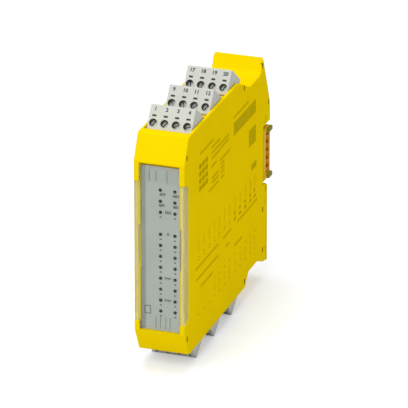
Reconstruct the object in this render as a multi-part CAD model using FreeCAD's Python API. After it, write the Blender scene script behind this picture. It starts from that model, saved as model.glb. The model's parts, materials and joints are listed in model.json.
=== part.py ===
import FreeCAD, Part
import math
import os

Vector = FreeCAD.Vector

# Safety relay module for a 35 mm top-hat rail. Millimetres, +Z up.
# Origin: centre of the rail, in the plane on which the rail's flanges seat.
# The front faces -Y, and the rail is at +Y.
# A side-view point is given as (depth behind the front face, height above the bottom edge).

# ---- housing: its width comes from the row of poles that it takes, 22.5 mm over all ----
poles = 4
pole_pitch = 5.0
bay_play = 0.05
side_wall = 1.2
housing_height = 99.0
front_to_seat = 107.5
rail_height = 51.8
skin = 1.3
edge_chamfer = 0.35
hook_overhang = 6.6
chamfer_depth = 5.5
chamfer_height = 11.0
top_edge_end = 70.0
bottom_edge_end = 80.0
valley_start = 86.0
valley_end = 100.4
valley_drop = 7.5
rear_corner_depth = 104.0
rear_corner_drop = 0.7
hump_corner_depth = 107.8
hump_corner_drop = 9.7
heel_rise = 5.4
heel_start = 84.5
heel_end = 97.0
heel_tip_rise = 1.6
heel_tip_depth = 106.0

# ---- rail, a bought-in profile that the recess is made for ----
rail_width = 35.0
rail_hat = 27.0
rail_depth = 7.5
rail_sheet = 1.0
rail_play = 0.3
flange_play = 0.3
recess_depth = 3.0

# ---- front cover, label and light guides ----
cover_thickness = 1.0
cover_gap = 0.2
cover_bottom = 11.9
cover_top = 85.7
skirt_bottom = 15.6
skirt_top = 78.7
skirt_depth = 4.6
skirt_thickness = 0.9
skirt_slant = 1.6
cover_side_gap = 0.05
cover_lap = 0.25
cover_edge_radius = 0.6
knuckle_radius = 0.5
tongue_play = 0.15
hinge_depth = 0.85
hinge_height = 12.6
hinge_pin_radius = 0.4
hinge_pin_length = 0.7
hinge_clearance = 0.07
hinge_end_play = 0.2
hinge_relief = 2.0
frame_inset = 2.6
front_post = 1.5
label_thickness = 0.8
label_setback = 1.7
label_play = 0.1
label_foot_play = 0.2
label_head_room = 1.5
pocket_bottom = 11.2
pocket_top = 87.3
scoop_centre = 49.0
scoop_length = 22.0
scoop_depth = 2.0
scoop_ramp = 3.0
scoop_radius = 2.0
finger_slot_half = 5.2
finger_slot_rise = 1.2
finger_slot_start = 0.6
led_columns = (0.0, 6.4)
led_pitch = 5.0
led_rows = (0, 1, 2, 4, 5, 6, 7, 8, 9, 10, 11)
led_top_height = 75.4
led_hole_radius = 0.65
led_pin_clearance = 0.05
led_window_sides = 6
led_width = 1.6
led_length = 0.8
guide_slot = 1.6
guide_lap = 0.3
guide_gap = 0.1
guide_depth = 2.2

# ---- pluggable terminals ----
plug_rows = 3
plug_row_pitch = 23.4
plug_tilt = 37.0
plug_face = 11.4
plug_length = 14.0
plug_side_play = 0.35
plug_edge = 0.5
plug_front_depth = 12.0
plug_front_drop = 1.6
pocket_clearance = 0.4
tooth_drop = 2.0
screw_position = 3.3
screw_sides = 10
screw_hole_radius = 1.8
screw_radius = 1.6
screw_recess = 1.6
screw_slot = 0.55
screw_slot_depth = 0.9
test_slot_width = 1.8
test_slot_height = 0.7
test_slot_depth = 1.2
test_slot_position = 6.4
clamp_start = 4.6
clamp_height = 3.6
clamp_length = 4.6
clamp_width = 3.7
clamp_sheet = 0.6
clamp_clearance = 0.15
wire_tunnel_width = 3.2
wire_tunnel_height = 2.9
wire_funnel = 0.45
funnel_depth = 0.8
contact_length = 5.0
contact_sheet = 0.35
contact_play = 0.1
contact_below = 0.6
contact_above = 1.0
contact_slot_half = 1.15
contact_slot_gap = 0.5
pin_width = 1.0
pin_lift = 0.2
pin_reach = 5.2
pin_step = 1.7
pin_tail_gap = 1.4
header_thickness = 2.0
header_height = 9.0
header_gap = 0.4
header_boss = 1.9
header_boss_inset = 1.5
header_boss_low = 1.0
header_boss_high = 8.0

# ---- boards ----
board_thickness = 1.6
board_gap = 0.4
board_edge_gap = 1.2
board_front_gap = 5.4
board_bay_gap = 0.2
board_post = 5.0
board_post_front = 14.0
board_post_rear = 90.0
board_post_low = 16.0
board_post_lift = 4.0
board_heel_height = 16.0
board_heel_start = 4.0
logic_board_x = 4.3
logic_board_front = 12.0
logic_board_rear = 98.0
logic_board_bottom = 17.0
led_board_depth = 7.6
led_board_thickness = 1.2
led_board_margin = 0.15
led_board_end = 4.0
led_height = 1.1
rim_thickness = 0.9
rim_length = 1.5
rim_clearance = 0.15
lug_depth = 0.8
lug_height = 2.2
lug_length = 1.7
lug_reach = 0.45
lug_front = 3.0
lug_corner = 8.4
lug_inset = 1.4

# ---- relays and other board parts: start is the front end's depth, bottom the lower end's height ----
relay_length = 40.0
relay_width = 13.0
relay_height = 10.6
relay_spacing = 2.0
relay_start = 46.0
relay_bottom = 19.0
relay_count = 3
relay_base = 0.6
relay_edge = 0.8
can_sides = 12
capacitor_radius = 4.0
capacitor_height = 9.5
capacitor_depth = 20.0
capacitor_level = 26.0
capacitor_pitch = 10.0
choke_radius = 5.0
choke_waist = 3.4
choke_height = 8.0
choke_flange = 1.2
choke_depth = 32.0
choke_level = 42.0
transformer_start = 15.0
transformer_length = 20.0
transformer_bottom = 56.0
transformer_width = 18.0
transformer_height = 9.0
core_length = 16.0
core_width = 14.0
core_low = 2.0
core_high = 7.0
chip_size = 12.0
chip_start = 34.0
chip_height = 1.4
chip_edge = 0.3
chip_bottoms = (32.0, 54.0)
coupler_length = 6.5
coupler_width = 4.6
coupler_height = 2.0
coupler_start = 70.0
coupler_bottom = 24.0
coupler_pitch = 9.0
coupler_count = 6
link_start = 38.0
link_depth = 2.5
link_bottom = 50.0
link_length = 20.0
socket_depth = 5.0
socket_length = 18.0
socket_end = 3.0

# ---- rail foot ----
foot_thickness = 1.6
foot_clearance = 0.3
foot_travel = 4.4
foot_bottom = 1.2
foot_stem_width = 6.0
foot_stem_height = 15.0
foot_stem_drop = 6.0
foot_slot_rise = 2.0
foot_toe_half = 8.0
foot_toe_back = 3.0
foot_lever_half = 2.0
foot_lever_gap = 1.2
foot_lever_slot = 1.6
foot_head = 4.2
foot_head_lap = 2.0
foot_top_play = 0.2
foot_top_slant = 1.6
toe_room_drop = 0.6
toe_room_lap = 2.0
spring_room_half = 2.1
spring_room_wall = 0.8
spring_post_half = 1.7
spring_post_depth = 2.2
spring_post_rise = 1.2
spring_post_gap = 0.1
spring_ceiling = 1.5
spring_offset = 0.4
spring_strip_width = 1.2
spring_sheet = 0.4
spring_folds = 7

# ---- bus connector in the rail ----
bus_height = 24.0
bus_side_gap = 0.05
bus_back_gap = 0.3
bus_seat_gap = 0.4
bus_nose_height = 19.0
bus_nose_width = 12.0
bus_nose_length = 4.0
bus_nose_play = 0.4
bus_pitch = 3.81
bus_poles = 5
bus_tab = 1.25
bus_tab_start = 1.5
bus_tab_inset = 0.3
bus_tab_play = 0.2
bus_edge = 0.6
bus_window_depth = 1.5
contact_slit_half = 0.7
contact_slit_depth = 3.0
blade_half = 0.9
blade_sheet = 0.45
blade_proud = 0.3
blade_start = 1.0
blade_flat = 0.8
blade_foot = 0.6

inner_half = poles * pole_pitch / 2 + bay_play
half_width = inner_half + side_wall
label_half_width = inner_half - front_post
cover_tongue_half = label_half_width + cover_lap
seat_upper = rail_height + rail_width / 2
seat_lower = rail_height - rail_width / 2
hat_upper = rail_height + rail_hat / 2 + rail_play
hat_lower = rail_height - rail_hat / 2 - rail_play
hook_face = front_to_seat + rail_sheet + flange_play
housing_depth = front_to_seat + hook_overhang
foot_front = hook_face
lower_rear = foot_front - foot_clearance
foot_back = foot_front + foot_thickness
middle_height = housing_height / 2
front_wall = frame_inset + skin
guide_bottom = led_top_height - led_rows[-1] * led_pitch - guide_slot
plug_half = poles * pole_pitch / 2 - plug_side_play / 2
boss_half = plug_half - header_boss_inset
pin_level = screw_position + pin_lift
toe_room_top = heel_rise - toe_room_drop
board_x = -inner_half + board_gap
components_x = board_x + board_thickness
bus_front = front_to_seat - recess_depth + bus_seat_gap
bus_back = front_to_seat + rail_depth - rail_sheet - bus_back_gap
bus_half = half_width - bus_side_gap


# ---- helpers ----

def to_frame(depth, height):
    return depth - front_to_seat, height - rail_height


def at(x, depth, height):
    y, z = to_frame(depth, height)
    return Vector(x, y, z)


def block(x0, x1, d0, d1, h0, h1):
    return Part.makeBox(x1 - x0, d1 - d0, h1 - h0, at(x0, d0, h0))


def corner_arc(before, corner, after, radius):
    """The start, middle and end of the arc that rounds one corner of an outline."""
    into = (before - corner).normalize()
    out = (after - corner).normalize()
    half = into.getAngle(out) / 2
    reach = radius / math.tan(half)
    centre = corner + (into + out).normalize() * (radius / math.sin(half))
    middle = centre + (corner - centre).normalize() * radius
    return corner + into * reach, middle, corner + out * reach


def outline_face(corners, x):
    """A flat face at x from (depth, height, radius) corners."""
    points = [at(x, d, h) for d, h, r in corners]
    edges = []
    joints = []
    for i, (d, h, radius) in enumerate(corners):
        if radius > 0:
            before, after = points[i - 1], points[(i + 1) % len(points)]
            start, middle, end = corner_arc(before, points[i], after, radius)
            joints.append((start, end, Part.Arc(start, middle, end).toShape()))
        else:
            joints.append((points[i], points[i], None))
    for i, (start, end, arc) in enumerate(joints):
        if arc is not None:
            edges.append(arc)
        following = joints[(i + 1) % len(joints)][0]
        if (following - end).Length > 1e-6:
            edges.append(Part.LineSegment(end, following).toShape())
    return Part.Face(Part.Wire(edges))


def prism(corners, x0, x1):
    return outline_face(corners, x0).extrude(Vector(x1 - x0, 0, 0))


def inset(corners, amount):
    """The same outline moved inwards by a wall, with sharp corners."""
    moved = []
    count = len(corners)
    area = sum(corners[i][0] * corners[(i + 1) % count][1] - corners[(i + 1) % count][0] * corners[i][1]
               for i in range(count))
    turn = 1 if area > 0 else -1
    for i in range(count):
        (ax, ay), (bx, by), (cx, cy) = (corners[i - 1][:2], corners[i][:2], corners[(i + 1) % count][:2])
        first = math.hypot(bx - ax, by - ay)
        second = math.hypot(cx - bx, cy - by)
        n1 = (-(by - ay) / first * turn, (bx - ax) / first * turn)
        n2 = (-(cy - by) / second * turn, (cx - bx) / second * turn)
        scale = amount / (1 + n1[0] * n2[0] + n1[1] * n2[1])
        moved.append((bx + (n1[0] + n2[0]) * scale, by + (n1[1] + n2[1]) * scale, 0))
    return moved


def rod(radius, sides, start, along):
    """A many-sided bar from start, along the X or the Y axis."""
    side = along.cross(Vector(0, 0, 1)).normalize()
    turns = [(i + 0.5) * 2 * math.pi / sides for i in range(sides)]
    rim = [start + side * (radius * math.cos(t)) + Vector(0, 0, radius * math.sin(t)) for t in turns]
    return Part.Face(Part.makePolygon(rim + rim[:1])).extrude(along)


def mirrored(shape):
    """A top-row shape turned over for the bottom row."""
    return shape.mirror(at(0, 0, middle_height), Vector(0, 0, 1))


def tilted(shape, row):
    """Places a terminal shape. Its own Y runs into the housing, its own Z up along the screw face."""
    moved = shape.copy()
    moved.rotate(Vector(0, 0, 0), Vector(1, 0, 0), -plug_tilt)
    moved.translate(at(0, plug_front_depth + row * plug_row_pitch, housing_height - plug_front_drop))
    return moved


def bar(x0, x1, n0, n1, s0, s1):
    """A block in a terminal's own axes: n into the housing, s up along the screw face."""
    return Part.makeBox(x1 - x0, n1 - n0, s1 - s0, Vector(x0, n0, s0))


def fused(shapes):
    shapes = list(shapes)
    return shapes[0].multiFuse(shapes[1:]).removeSplitter() if len(shapes) > 1 else shapes[0]


def pole_places():
    return [(i - (poles - 1) / 2) * pole_pitch for i in range(poles)]


def save(name, shape):
    shape.exportStep(os.path.join("parts", name + ".step"))


# ---- housing outline ----

def housing_corners():
    top = housing_height
    valley = top - valley_drop
    rear_top = top - rear_corner_drop
    return [
        (0, chamfer_height, 0.8),
        (chamfer_depth, 0, 1.2),
        (bottom_edge_end, 0, 2.0),
        (heel_start, heel_rise, 2.0),
        (heel_end, heel_rise, 3.0),
        (heel_tip_depth, heel_tip_rise, 1.0),
        (lower_rear, heel_tip_rise, 0),
        (lower_rear, seat_lower - flange_play, 0),
        (front_to_seat, seat_lower - flange_play, 0),
        (front_to_seat, hat_lower, 0),
        (front_to_seat - recess_depth, hat_lower, 0),
        (front_to_seat - recess_depth, hat_upper, 0),
        (front_to_seat, hat_upper, 0),
        (front_to_seat, seat_upper + flange_play, 0),
        (hook_face, seat_upper + flange_play, 0),
        (hook_face, hat_upper, 0),
        (housing_depth, hat_upper, 0),
        (housing_depth, seat_upper + 5.0, 30.0),
        (hump_corner_depth, top - hump_corner_drop, 14.0),
        (rear_corner_depth, rear_top, 1.2),
        (valley_end, valley, 3.5),
        (valley_start, valley, 4.0),
        (top_edge_end, top, 3.0),
        (chamfer_depth, top, 1.2),
        (0, top - chamfer_height, 0.8),
    ]


def bay(extra):
    """The room for one row of plugs, grown by extra on every side, as a tool to cut with."""
    depth = plug_length + header_gap + header_thickness + extra
    bottom = -pocket_clearance - extra
    reach = 30.0
    chutes = [
        tilted(bar(-inner_half, inner_half, -reach, depth, bottom, reach), row) for row in range(plug_rows)
    ]
    level = housing_height - tooth_drop - extra
    first = plug_front_depth + tooth_drop
    last = plug_front_depth + (plug_rows - 1) * plug_row_pitch + plug_length
    chutes.append(block(-inner_half, inner_half, first, last, level, housing_height + reach))
    return fused(chutes)


def front_pocket():
    """What is cut from the housing's front for the label, the cover and its skirts."""
    wide = half_width + 1
    behind = cover_thickness + cover_gap
    tongue = cover_tongue_half + tongue_play
    label = label_half_width + label_play
    bottom, top = skirt_bottom - cover_gap, skirt_top + cover_gap
    relief_top = hinge_height + hinge_relief
    tools = [
        block(-tongue, tongue, -1, behind, pocket_bottom, pocket_top),
        block(-tongue, tongue, -1, frame_inset, pocket_bottom, relief_top),
        block(-label, label, -1, frame_inset, pocket_bottom, pocket_top),
        block(-wide, wide, -1, behind, bottom, top),
        block(-finger_slot_half, finger_slot_half, finger_slot_start, frame_inset,
              pocket_top - 1, pocket_top + finger_slot_rise),
    ]
    reach = skirt_depth + cover_gap
    side = [(-1, bottom, 0), (reach, bottom + skirt_slant, 1.0), (reach, top - skirt_slant, 1.0), (-1, top, 0)]
    tools += [prism(side, x0, x1) for x0, x1 in ((-wide, -inner_half), (inner_half, wide))]
    half = scoop_length / 2
    floor = behind + scoop_depth
    scoop = [(0, scoop_centre - half, 0), (floor, scoop_centre - half + scoop_ramp, scoop_radius),
             (floor, scoop_centre + half - scoop_ramp, scoop_radius), (0, scoop_centre + half, 0)]
    return fused(tools + [prism(scoop, -wide, wide)])


def snap_places():
    """Where the tray's lugs catch the side cover, as (depth, height)."""
    top = housing_height
    behind = lower_rear - lug_inset
    return [
        (lug_front, top - lug_corner), (lug_front, lug_corner), (bottom_edge_end - 0.8, 3.2),
        (valley_start - 8.0, top - 5.1), (rear_corner_depth - 0.9, top - 4.2), (behind, 8.0),
        (behind, seat_lower - 4.5), (housing_depth - 2.5, seat_upper + 5.7),
    ]


def snap_lugs(grow, x0, x1):
    deep, tall = lug_depth / 2 + grow, lug_height / 2 + grow
    return [block(x0, x1, d - deep, d + deep, h - tall, h + tall) for d, h in snap_places()]


def chamber(wall, x0, x1):
    """The closed room inside the housing, a wall away from the outline and from the plug bays."""
    room = prism(inset(housing_corners(), wall), x0, x1)
    front = block(-half_width, half_width, -1, frame_inset + wall, -1, housing_height + 1)
    posts = front_pocket_posts(wall)
    return room.cut([bay(wall), mirrored(bay(wall)), front, foot_toe_room(wall)] + posts)


def front_pocket_posts(wall):
    """Thick corners beside the label, which back the cover's skirts."""
    depth = skirt_depth + wall
    inner = label_half_width + label_play
    sides = ((-half_width, -inner), (inner, half_width))
    return [block(x0, x1, 0, depth, 0, housing_height) for x0, x1 in sides]


def header_window(grow):
    """The slot in a bay's floor that a pin header's boss comes through."""
    start = plug_length + header_gap + header_thickness - 0.1
    return bar(-boss_half - grow, boss_half + grow, start, start + skin + 0.2,
               header_boss_low - grow, header_boss_high + grow)


def each_bay(shape):
    """A terminal shape in every row, the top rows first and then the bottom rows."""
    top = [tilted(shape, row) for row in range(plug_rows)]
    return top + [mirrored(s) for s in top]


def foot_slot(grow):
    """The slot in the lower rear wall that the rail foot's stem slides in."""
    half = foot_stem_width / 2 + grow
    return block(-half, half, lower_rear - skin - 1, lower_rear + 1, heel_rise + foot_slot_rise,
                 seat_lower - foot_stem_drop)


def foot_toe_room(grow):
    """The hollow under the heel that the rail foot's toe slides out of, grown by a wall."""
    half = foot_toe_half + foot_clearance + grow
    return block(-half, half, heel_end + toe_room_lap - grow, lower_rear + 1, -1, toe_room_top + grow)


def bus_window(grow):
    half = bus_nose_width / 2 + grow
    tall = bus_nose_height / 2 + grow
    floor = front_to_seat - recess_depth
    return block(-half, half, floor - skin - 1, floor + 1, rail_height - tall, rail_height + tall)


def edged(shell, x):
    """Breaks the long edges of the housing's outline on the side at x."""
    rim = [e for e in shell.Edges if abs(e.BoundBox.XMin - x) < 1e-6 and abs(e.BoundBox.XMax - x) < 1e-6]
    return shell.makeChamfer(edge_chamfer, rim)


def housing_shell():
    tray = edged(prism(housing_corners(), -half_width, inner_half), -half_width)
    tray = tray.cut(chamber(skin, -inner_half, half_width))
    tools = [bay(0), mirrored(bay(0)), front_pocket(), foot_slot(foot_clearance), bus_window(bus_nose_play),
             foot_toe_room(0)]
    tools += each_bay(header_window(0.1))
    half = guide_slot / 2
    tools += [block(x - half, x + half, 0, front_wall + 1, guide_bottom, led_top_height + guide_slot)
              for x in led_columns]
    tray = tray.cut(tools)
    added = snap_lugs(0, inner_half - lug_length, inner_half + lug_reach) + board_posts() + [spring_post()]
    return tray.multiFuse(added).cut(hinge_holes()).removeSplitter()


def board_posts():
    """Four pads on the tray's floor that the main board rests on."""
    high = housing_height - board_post_low - board_post
    places = [(board_post_front, board_post_low), (board_post_front, high),
              (board_post_rear, board_post_low + board_post_lift), (board_post_rear, high - board_post_lift)]
    return [block(-inner_half, board_x, d, d + board_post, h, h + board_post) for d, h in places]


def side_cover():
    plate = edged(prism(housing_corners(), inner_half, half_width), half_width)
    rim_gap = skin + rim_clearance
    rim = chamber(rim_gap, inner_half - rim_length, inner_half)
    rim = rim.cut(chamber(rim_gap + rim_thickness, inner_half - rim_length, inner_half))
    openings = [foot_slot(foot_clearance), foot_toe_room(0), bus_window(bus_nose_play)]
    rim = rim.cut(snap_lugs(0.3, inner_half - lug_length - 1, inner_half + 1) + openings)
    plate = plate.cut([front_pocket(), foot_toe_room(0)] + snap_lugs(0.1, inner_half - 1, half_width + 1))
    return plate.fuse(rim).removeSplitter()


# ---- front cover, label, light guides ----

def front_cover():
    wide = half_width - cover_side_gap
    pane = block(-wide, wide, 0, cover_thickness, skirt_bottom, skirt_top)
    tongue = block(-cover_tongue_half, cover_tongue_half, 0, cover_thickness, cover_bottom, cover_top)
    side = [(0, skirt_bottom, 0), (skirt_depth, skirt_bottom + skirt_slant, 1.0),
            (skirt_depth, skirt_top - skirt_slant, 1.0), (0, skirt_top, 0)]
    skirts = [prism(side, wide - skirt_thickness, wide), prism(side, -wide, skirt_thickness - wide)]
    cover = fused([pane, tongue] + skirts)
    front, low = to_frame(0, cover_bottom)
    in_front = [e for e in cover.Edges if abs(e.BoundBox.YMax - front) < 1e-6]
    long_edges = [e for e in in_front if e.BoundBox.XLength < 1e-6 and abs(e.BoundBox.XMax) > wide - 0.01]
    cover = cover.makeFillet(cover_edge_radius, long_edges)
    lowest = [e for e in cover.Edges if abs(e.BoundBox.ZMax - low) < 1e-6]
    knuckle = [e for e in lowest if abs(e.BoundBox.YMax - front) < 1e-6]
    cover = cover.makeFillet(knuckle_radius, knuckle)
    return cover.fuse(hinge_bar(hinge_pin_radius, 0)).removeSplitter()


def hinge_bar(radius, play):
    length = cover_tongue_half + hinge_pin_length + play
    return Part.makeCylinder(radius, 2 * length, at(-length, hinge_depth, hinge_height), Vector(1, 0, 0))


def hinge_holes():
    return hinge_bar(hinge_pin_radius + hinge_clearance, hinge_end_play)


def led_places():
    return [(x, led_top_height - row * led_pitch) for x in led_columns for row in led_rows]


def front_label():
    back = label_setback + label_thickness
    plate = block(-label_half_width, label_half_width, label_setback, back,
                  pocket_bottom + label_foot_play, pocket_top - label_head_room)
    return plate.cut([rod(led_hole_radius, led_window_sides, at(x, 0, h), Vector(0, front_wall, 0))
                      for x, h in led_places()])


def light_guide(x):
    """One clear comb: a bar behind the front wall with a finger to each window."""
    start = front_wall + guide_gap
    half = guide_slot / 2 + guide_lap
    spine = block(x - half, x + half, start, start + guide_depth, guide_bottom, led_top_height + guide_slot)
    tip = label_setback + led_pin_clearance
    radius = led_hole_radius - led_pin_clearance
    along = Vector(0, start - tip + guide_gap, 0)
    fingers = [rod(radius, led_window_sides, at(x, tip, led_top_height - row * led_pitch), along)
               for row in led_rows]
    return fused([spine] + fingers)


def led_board():
    half = label_half_width - led_board_margin
    return block(-half, half, led_board_depth, led_board_depth + led_board_thickness,
                 pocket_bottom + led_board_end, pocket_top - led_board_end)


def leds():
    half, tall = led_width / 2, led_length / 2
    front = led_board_depth - led_height
    return Part.makeCompound([block(x - half, x + half, front, led_board_depth, h - tall, h + tall)
                              for x, h in led_places()])


# ---- terminals ----

def plug_body():
    """One moulded plug: screw holes and test slots in its face, wire entries above, contact slots behind."""
    body = bar(-plug_half, plug_half, 0, plug_length, 0, plug_face)
    front_edges = [e for e in body.Edges if e.BoundBox.YMax < 1e-6 and e.BoundBox.XLength > 1]
    body = body.makeChamfer(plug_edge, front_edges)
    end = clamp_start + clamp_height + clamp_clearance
    low = screw_position - clamp_length / 2 - clamp_clearance
    high = screw_position + clamp_length / 2 + clamp_clearance
    cage = clamp_width / 2 + clamp_clearance
    wire = wire_tunnel_width / 2
    mouth = wire + wire_funnel
    middle = clamp_start + clamp_height / 2
    near, far = middle - wire_tunnel_height / 2, middle + wire_tunnel_height / 2
    test_low = test_slot_position - test_slot_height / 2
    contact_low = screw_position - contact_below - contact_slot_gap
    contact_high = screw_position + contact_above + contact_slot_gap
    tools = []
    for x in pole_places():
        tools += [
            rod(screw_hole_radius, screw_sides, Vector(x, -1, screw_position), Vector(0, clamp_start + 1, 0)),
            bar(x - cage, x + cage, clamp_start - clamp_clearance, end, low, high),
            bar(x - wire, x + wire, near, far, high - 0.1, plug_face + 1),
            bar(x - mouth, x + mouth, near - wire_funnel, far + wire_funnel,
                plug_face - funnel_depth, plug_face + 1),
            bar(x - contact_slot_half, x + contact_slot_half, end - 0.1, plug_length + 1,
                contact_low, contact_high),
            bar(x - test_slot_width / 2, x + test_slot_width / 2, -1, test_slot_depth,
                test_low, test_low + test_slot_height),
        ]
    return body.cut(tools)


def clamp_screws(shift):
    screws = []
    length = clamp_start - screw_recess
    reach = screw_radius + 1
    for i, x in enumerate(pole_places()):
        screw = rod(screw_radius, screw_sides, Vector(x, screw_recess, screw_position), Vector(0, length, 0))
        slot = bar(-reach, reach, -1, screw_slot_depth, -screw_slot / 2, screw_slot / 2)
        slot.rotate(Vector(0, 0, 0), Vector(0, 1, 0), (i * 67 + shift * 41) % 180)
        slot.translate(Vector(x, screw_recess, screw_position))
        screws.append(screw.cut(slot))
    return Part.makeCompound(screws)


def wire_clamps():
    """Four metal cages with the spring contact that grips the header's pin."""
    clamps = []
    low = screw_position - clamp_length / 2
    high = screw_position + clamp_length / 2
    end = clamp_start + clamp_height
    half = clamp_width / 2
    inner = pin_width / 2 + contact_play
    for x in pole_places():
        cage = bar(x - half, x + half, clamp_start, end, low, high)
        window = bar(x - half + clamp_sheet, x + half - clamp_sheet,
                     clamp_start + clamp_sheet, end - clamp_sheet, low - 1, high + 1)
        legs = [bar(x + x0, x + x1, end, end + contact_length,
                    screw_position - contact_below, screw_position + contact_above)
                for x0, x1 in ((-inner - contact_sheet, -inner), (inner, inner + contact_sheet))]
        clamps.append(fused([cage.cut(window)] + legs))
    return Part.makeCompound(clamps)


def pin_header():
    start = plug_length + header_gap
    base = bar(-plug_half, plug_half, start, start + header_thickness, 0, header_height)
    boss_start = start + header_thickness
    boss = bar(-boss_half, boss_half, boss_start, boss_start + header_boss,
               header_boss_low, header_boss_high)
    header = fused([base, boss])
    return header.cut([group[0] for group in header_pin_parts()])


def header_pin_parts():
    """For each pole: the contact pin, the step and the tail that turns to the main board."""
    groups = []
    start = plug_length + header_gap + header_thickness + header_boss + pin_tail_gap
    half = pin_width / 2
    for i, x in enumerate(pole_places()):
        level = pin_level + i * pin_step
        contact = bar(x - half, x + half, plug_length - pin_reach, start + pin_width,
                      pin_level - half, pin_level + half)
        step = bar(x - half, x + half, start, start + pin_width, pin_level - half, level + half)
        tail = bar(board_x, x + half, start, start + pin_width, level - half, level + half)
        groups.append([contact, step, tail])
    return groups


def header_pins():
    return Part.makeCompound([fused(group) for group in header_pin_parts()])


# ---- boards and what they carry ----

def main_board():
    edge = skin + board_edge_gap
    board = prism(inset(housing_corners(), edge), board_x, board_x + board_thickness)
    front = block(-half_width, 0, -1, front_wall + board_front_gap, -1, housing_height + 1)
    heel = block(-half_width, 0, heel_start - board_heel_start, housing_depth, -1, board_heel_height)
    clear = bay(header_boss + board_bay_gap)
    tails = [tail for group in header_pin_parts() for tail in each_bay(group[2])]
    return board.cut([front, heel, clear, mirrored(clear), foot_room(edge)] + tails)


def logic_board():
    return block(logic_board_x, logic_board_x + board_thickness, logic_board_front, logic_board_rear,
                 logic_board_bottom, housing_height - logic_board_bottom)


def relay(index):
    """A sealed relay: a case with broken edges on a smaller base."""
    bottom = relay_bottom + index * (relay_width + relay_spacing)
    end, top = relay_start + relay_length, bottom + relay_width
    case = block(components_x + relay_base, components_x + relay_height, relay_start, end, bottom, top)
    case = case.makeChamfer(relay_edge, [e for e in case.Edges if e.BoundBox.XLength > 1])
    base = block(components_x, components_x + relay_base, relay_start + relay_base, end - relay_base,
                 bottom + relay_base, top - relay_base)
    return case.fuse(base)


def on_main_board(start, length, bottom, width, height):
    return block(components_x, components_x + height, start, start + length, bottom, bottom + width)


def on_logic_board(start, length, bottom, width, height):
    x = logic_board_x + board_thickness
    return block(x, x + height, start, start + length, bottom, bottom + width)


def transformer():
    """A winding on its bobbin, with the core's legs through and round it."""
    winding = on_main_board(transformer_start, transformer_length, transformer_bottom, transformer_width,
                            transformer_height)
    depth = transformer_start + (transformer_length - core_length) / 2
    level = transformer_bottom + (transformer_width - core_width) / 2
    low, high = components_x + core_low, components_x + core_high
    room = block(low, high, depth, depth + core_length, transformer_bottom - 1,
                 transformer_bottom + transformer_width + 1)
    core = block(low, high, depth, depth + core_length, level, level + core_width)
    return fused([winding.cut(room), core])


def capacitors():
    places = [(capacitor_depth, capacitor_level), (capacitor_depth, capacitor_level + capacitor_pitch),
              (capacitor_depth + capacitor_pitch, capacitor_level)]
    along = Vector(capacitor_height, 0, 0)
    return Part.makeCompound([rod(capacitor_radius, can_sides, at(components_x, d, h), along)
                              for d, h in places])


def choke():
    """A bobbin wound with wire between two flanges."""
    centre = at(components_x, choke_depth, choke_level)
    flange = Vector(choke_flange, 0, 0)
    tops = (0, choke_height - choke_flange)
    flanges = [rod(choke_radius, can_sides, centre + Vector(x, 0, 0), flange) for x in tops]
    return fused(flanges + [rod(choke_waist, can_sides, centre, Vector(choke_height, 0, 0))])


def processor(bottom):
    chip = on_logic_board(chip_start, chip_size, bottom, chip_size, chip_height)
    face = logic_board_x + board_thickness + chip_height
    return chip.makeChamfer(chip_edge, [e for e in chip.Edges if e.BoundBox.XMin > face - 1e-6])


def optocouplers():
    bottoms = [coupler_bottom + i * coupler_pitch for i in range(coupler_count)]
    size = (coupler_width, coupler_height)
    return Part.makeCompound([on_logic_board(coupler_start, coupler_length, bottom, *size) for bottom in bottoms])


def board_link():
    return on_main_board(link_start, link_depth, link_bottom, link_length, logic_board_x - components_x)


def bus_socket():
    """The socket on the main board that takes the connector's nose."""
    back = bus_front - bus_nose_length - bus_nose_play
    return block(components_x, socket_end, back - socket_depth, back,
                 rail_height - socket_length / 2, rail_height + socket_length / 2)


# ---- rail foot ----

def rail_foot():
    """The sprung slide that holds the lower rail flange: a plate, a toe, and a stem with its head inside."""
    wide = half_width - cover_side_gap
    top = hat_lower - foot_top_play
    plate = prism([(foot_front, foot_bottom, 0), (foot_back, foot_bottom, 0.4),
                   (foot_back, top - foot_top_slant, 0.4), (foot_front, top, 0)], -wide, wide)
    toe_end = heel_end + foot_toe_back
    toe_top = toe_room_top - foot_clearance
    root = toe_top + 2
    toe = prism([(toe_end, toe_top, 0), (toe_end, toe_top - 1.0, 0.3), (heel_tip_depth, foot_bottom, 0.5),
                 (foot_back, foot_bottom, 0.4), (foot_back, root, 0), (foot_front, root, 0),
                 (foot_front, toe_top, 0)], -foot_toe_half, foot_toe_half)
    lever = toe_end + foot_lever_gap
    toe = toe.cut(block(-foot_lever_half, foot_lever_half, lever, lever + foot_lever_slot, -5, housing_height))
    half = foot_stem_width / 2
    low, high = stem_span()
    front = head_front()
    stem = block(-half, half, front - 0.2, foot_front, low, high)
    head = block(-half - foot_head_lap, half + foot_head_lap, front - foot_head, front, low, high)
    room = block(-spring_room_half, spring_room_half, 0, front - spring_room_wall, -1, high - spring_ceiling)
    return fused([plate, toe, stem, head.cut(room)])


def stem_span():
    top = seat_lower - foot_stem_drop - foot_clearance
    return top - foot_stem_height, top


def head_front():
    """The depth at which the foot's head meets the inside of the lower rear wall."""
    return lower_rear - skin - foot_clearance


def foot_room(grow):
    """The room inside the lower rear wall that the foot's head moves in."""
    low, high = stem_span()
    half = foot_stem_width / 2 + foot_head_lap + foot_clearance
    front = head_front() - foot_head - foot_clearance
    return block(-half_width, half, front - grow, lower_rear, low - foot_travel - grow, high + grow)


def spring_axis():
    return head_front() - foot_head / 2 - spring_offset


def spring_post():
    """The rib on the housing's floor that the foot's spring stands on."""
    half = spring_post_depth / 2
    return block(-spring_post_half, spring_post_half, spring_axis() - half, spring_axis() + half,
                 toe_room_top + spring_post_gap, stem_span()[0] + spring_post_rise)


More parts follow.
